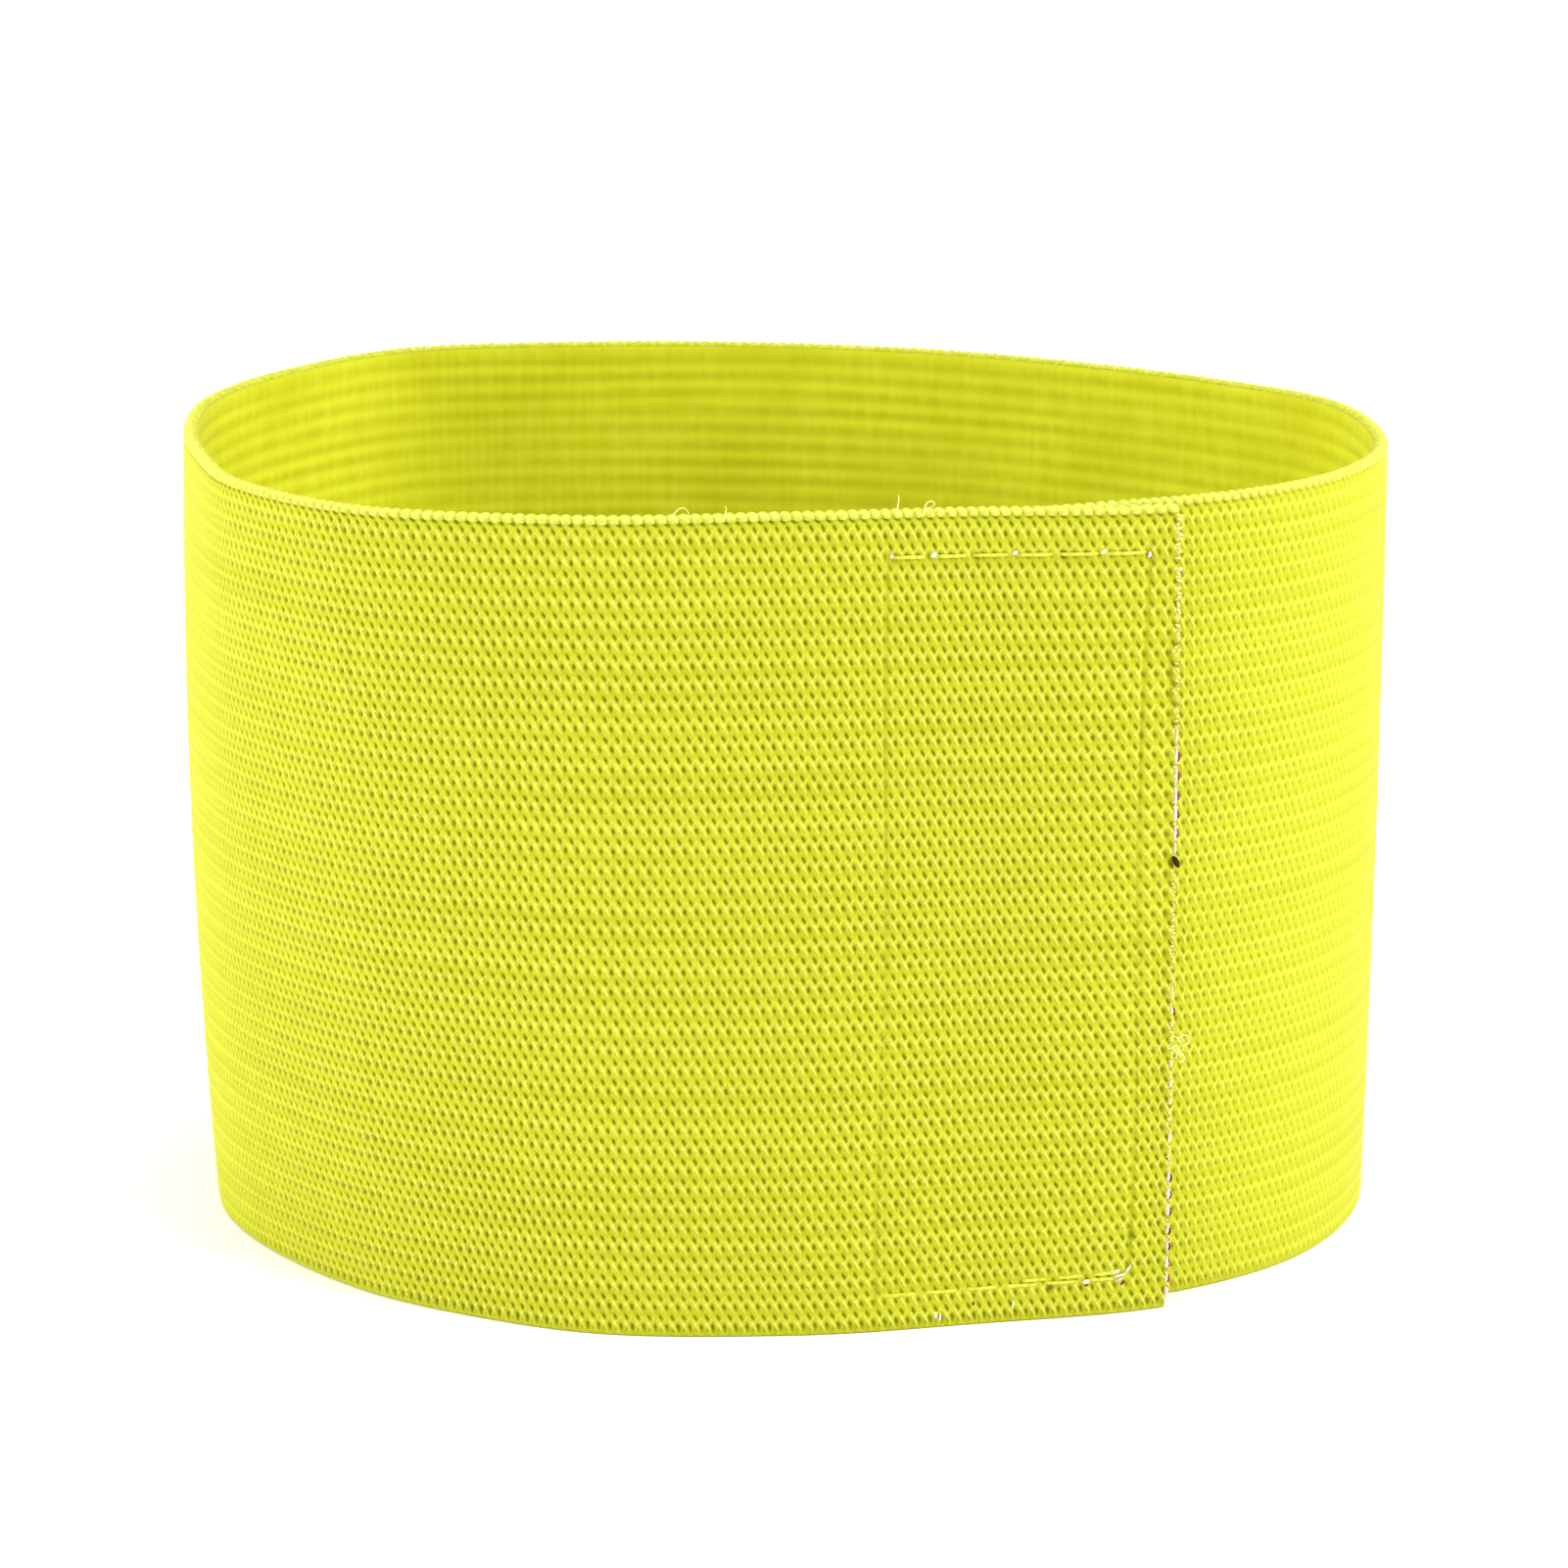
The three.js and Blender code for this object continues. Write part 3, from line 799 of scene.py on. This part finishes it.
def cut_ends():
    """Yarn ends along the flap's cut. Cover yarn: eight stubs to a row pair that point across the
    cut, random in place, length and lean, larger by smooth_rise towards the top. Rubber and
    core: as the table gives them."""
    draw = np.random.default_rng(4)
    count = 8 * (ROW_PAIRS + 1)
    level = np.linspace(0.8, 69.0, count) + draw.uniform(-0.2, 0.2, count)
    fringe = np.stack([
        draw.uniform(-0.08, 0.22, count), level, draw.uniform(-0.04, 0.30, count),
        draw.uniform(0.25, 0.50, count), draw.uniform(0.05, 0.10, count),
        draw.uniform(30, 150, count)], -1)
    fringe[:, 3:5] *= 0.85 + 0.40 * smooth_rise(level, 57, 63)[:, None]
    short_threads("cut_cover_ends", fringe[abs(level - SHADOWED_GAP_LEVEL) > 0.8], cover_ends)
    # A dark piece that fills the gap in the cut: painted shadow
    short_threads("gap_shadow_piece", ((-0.06, SHADOWED_GAP_LEVEL, 0.05, 1.15, 0.27, -28),), painted_gap_shadow)
    level, length, radius, with_core = np.array(RUBBER).T
    still = np.zeros(len(level))
    lean = draw.uniform(-6, 6, len(level))
    rubber = [still + 0.05, level, still + 0.10, length, radius, lean]
    short_threads("cut_rubber", np.stack(rubber, -1), rubber_ends)
    # Dark red core ends beside each rubber end: the core yarn's red and painted shadow at the cut's
    # edge
    core = [still - 0.19, level - 0.15, still + 0.14, still + 0.75, still + 0.12, lean]
    core = np.stack(core, -1)
    short_threads("cut_core", core[with_core > 0], core_ends)


cut_ends()


# Loose fibres: each a few places on the strip, mm back from the flap's edge, mm outward, mm up
FIBRES = (
    ((42.3, 0.0, 69.9), (41.9, 0.3, 70.7), (41.3, 0.3, 70.8), (40.9, 0.0, 69.9)),
    ((38.1, 0.0, 69.6), (38.0, 0.1, 70.2), (37.9, 0.1, 70.6), (38.0, 0.1, 70.9)),
    ((23.3, 0.0, 69.6), (23.3, 0.1, 70.3), (23.2, 0.1, 70.9), (23.2, 0.0, 71.4)),
    ((20.9, 0.0, 69.7), (20.8, 0.2, 70.6), (20.3, 0.3, 71.0), (20.1, 0.2, 70.5), (20.6, 0.1, 70.3)),
    ((0.1, -0.2, 24.3), (-0.3, 0.2, 24.0), (-0.7, 0.3, 23.6), (-0.5, 0.3, 23.1), (0.1, 0.2, 22.9)),
)
# Curled ones, by their middle in the same terms, and radius in mm
CURLS = ((-1.10, -0.1, 23.6, 0.55), (-0.80, -0.1, 22.1, 0.42), (-0.30, 0.1, 23.0, 0.36))


def loose_fibres():
    """Thin tubes that taper to their ends, on the cubic curve nearest each fibre's places, or
    on most of a circle that tightens as it goes round."""
    rings = []
    step = np.linspace(0, 1, 24)
    for back, outward, level, radius in CURLS:
        reach = radius * (1 - 0.3 * step)
        path = strip_point(STRIP_LENGTH - (back + reach * np.cos(5.2 * step)) * MM,
                           -(outward + 0.2 * step) * MM, (level + reach * np.sin(5.2 * step)) * MM)
        rings.append(tubes(path[None], ((0.09 - 0.03 * step) * MM)[None], 5))
    for places in FIBRES:
        knots = np.linspace(0, 1, len(places))
        powers = np.polynomial.polynomial.polyvander(step, 3)
        cubic = np.polynomial.polynomial.polyfit(knots, np.array(places) * MM, 3)
        back, outward, level = (powers @ cubic).T
        path = strip_point(STRIP_LENGTH - back, -outward, level)
        rings.append(tubes(path[None], ((0.06 - 0.03 * step) * MM)[None], 5))
    points, faces = lofted(np.concatenate(rings))
    make_piece("loose_fibres", points, faces, hair_yarn)


loose_fibres()


# Loop tape and hook tape

def tape(name, node, start, outer, inner, lump, grain, material):
    """A woven tape's slab: its section runs up one face and down the other, and both faces are
    uneven by random lumps, one to each step of the grain."""
    steps, rises = int(TAPE_WIDTH / grain), int(TAPE_HEIGHT / grain)
    along = np.linspace(start, start + TAPE_WIDTH, steps)[:, None]
    rise = np.linspace(TAPE_FOOT, TAPE_FOOT + TAPE_HEIGHT, rises)
    height = np.concatenate([rise, rise[::-1]])[None, :]
    rough = np.random.default_rng(steps).uniform(0, lump, (steps, 2 * rises))
    rough[:, [0, rises - 1, rises, -1]] = 0
    face = np.repeat([outer, inner], rises)[None, :]
    sign = np.repeat([1, -1], rises)[None, :]
    points, faces = lofted(strip_point(along, face + sign * rough, height)[None])
    piece = make_piece(name, points, faces, material, sharp=60)
    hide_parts(node)


tape("loop_tape_pile", "loop_tape", LOOP_SETBACK, -TAPE_CLEARANCE - LOOP_THICKNESS, -TAPE_CLEARANCE,
     0.10 * MM, 0.5 * MM, brushed_loops)
HOOK_START = STRIP_LENGTH - HOOK_SETBACK - TAPE_WIDTH
HOOK_BASE = WALL + TAPE_CLEARANCE + 0.25 * MM
tape("hook_tape_base", "hook_tape", HOOK_START, WALL + TAPE_CLEARANCE, HOOK_BASE,
     0.02 * MM, 1.3 * MM, moulded_hooks)


def hooks():
    """Rows of small moulded hooks on the hook tape: each stem rises off the tape and bends
    over, rows facing opposite ways in turn."""
    across = HOOK_START + np.linspace(1.0, 24.0, 16) * MM
    up = TAPE_FOOT + np.linspace(1.0, 64.5, 46) * MM
    along, level = (grid.reshape(-1, 1) for grid in np.meshgrid(across, up))
    turned = np.where(np.arange(len(along)) % 2 == 0, 1, -1)[:, None]
    stem = np.array([[0.0, 0.20, 0.30, 0.24]]) * MM
    bend = np.array([[0.0, 0.02, 0.16, 0.30]]) * MM
    paths = strip_point(along + turned * bend, HOOK_BASE - 0.03 * MM + stem, level)
    points, faces = lofted(tubes(paths, np.array([[0.09, 0.08, 0.07, 0.05]]) * MM, 4))
    make_piece("tape_hooks", points, faces, moulded_hooks)


hooks()


# Floor and light

def floor_face(tree):
    """Matte paper, evenly pale."""
    return {"Base Color": colour("FAFAFA"), "Roughness": 1.0, "Specular IOR Level": 0.0}


SKY = 0.5
LAMPS = (
    ("above", (0.0, 0.4, 2.4), (0, 0, 0), 2.6, 55),
    ("left", (-1.25, -0.35, 0.45), (0, -76, 0), 0.9, 17),
    ("right", (1.2, -0.35, 0.55), (0, 72, 0), 1.1, 13),
    ("front_right", (1.15, -0.80, 1.20), (49, 0, 55), 0.9, 13),
)


def studio():
    """Pale floor, and soft light from above and from both sides, with white all round."""
    half = 6.0
    mesh = bpy.data.meshes.new("floor")
    corners = [(-half, -half, 0), (half, -half, 0), (half, half, 0), (-half, half, 0)]
    mesh.from_pydata(corners, [], [(0, 1, 2, 3)])
    mesh.materials.append(finish_material("matte_paper_floor", floor_face))
    floor = bpy.data.objects.new("floor", mesh)
    bpy.context.scene.collection.objects.link(floor)
    for name, place, turn, size, power in LAMPS:
        lamp = bpy.data.lights.new(name, "AREA")
        lamp.size = size
        lamp.energy = power
        light = bpy.data.objects.new(name, lamp)
        light.location = place
        light.rotation_euler = np.radians(turn)
        bpy.context.scene.collection.objects.link(light)
    world = bpy.data.worlds.new("studio")
    world.use_nodes = True
    background = world.node_tree.nodes["Background"]
    background.inputs[0].default_value = (1, 1, 1, 1)
    background.inputs[1].default_value = SKY
    bpy.context.scene.world = world
    bpy.context.scene.view_settings.view_transform = "Standard"


studio()
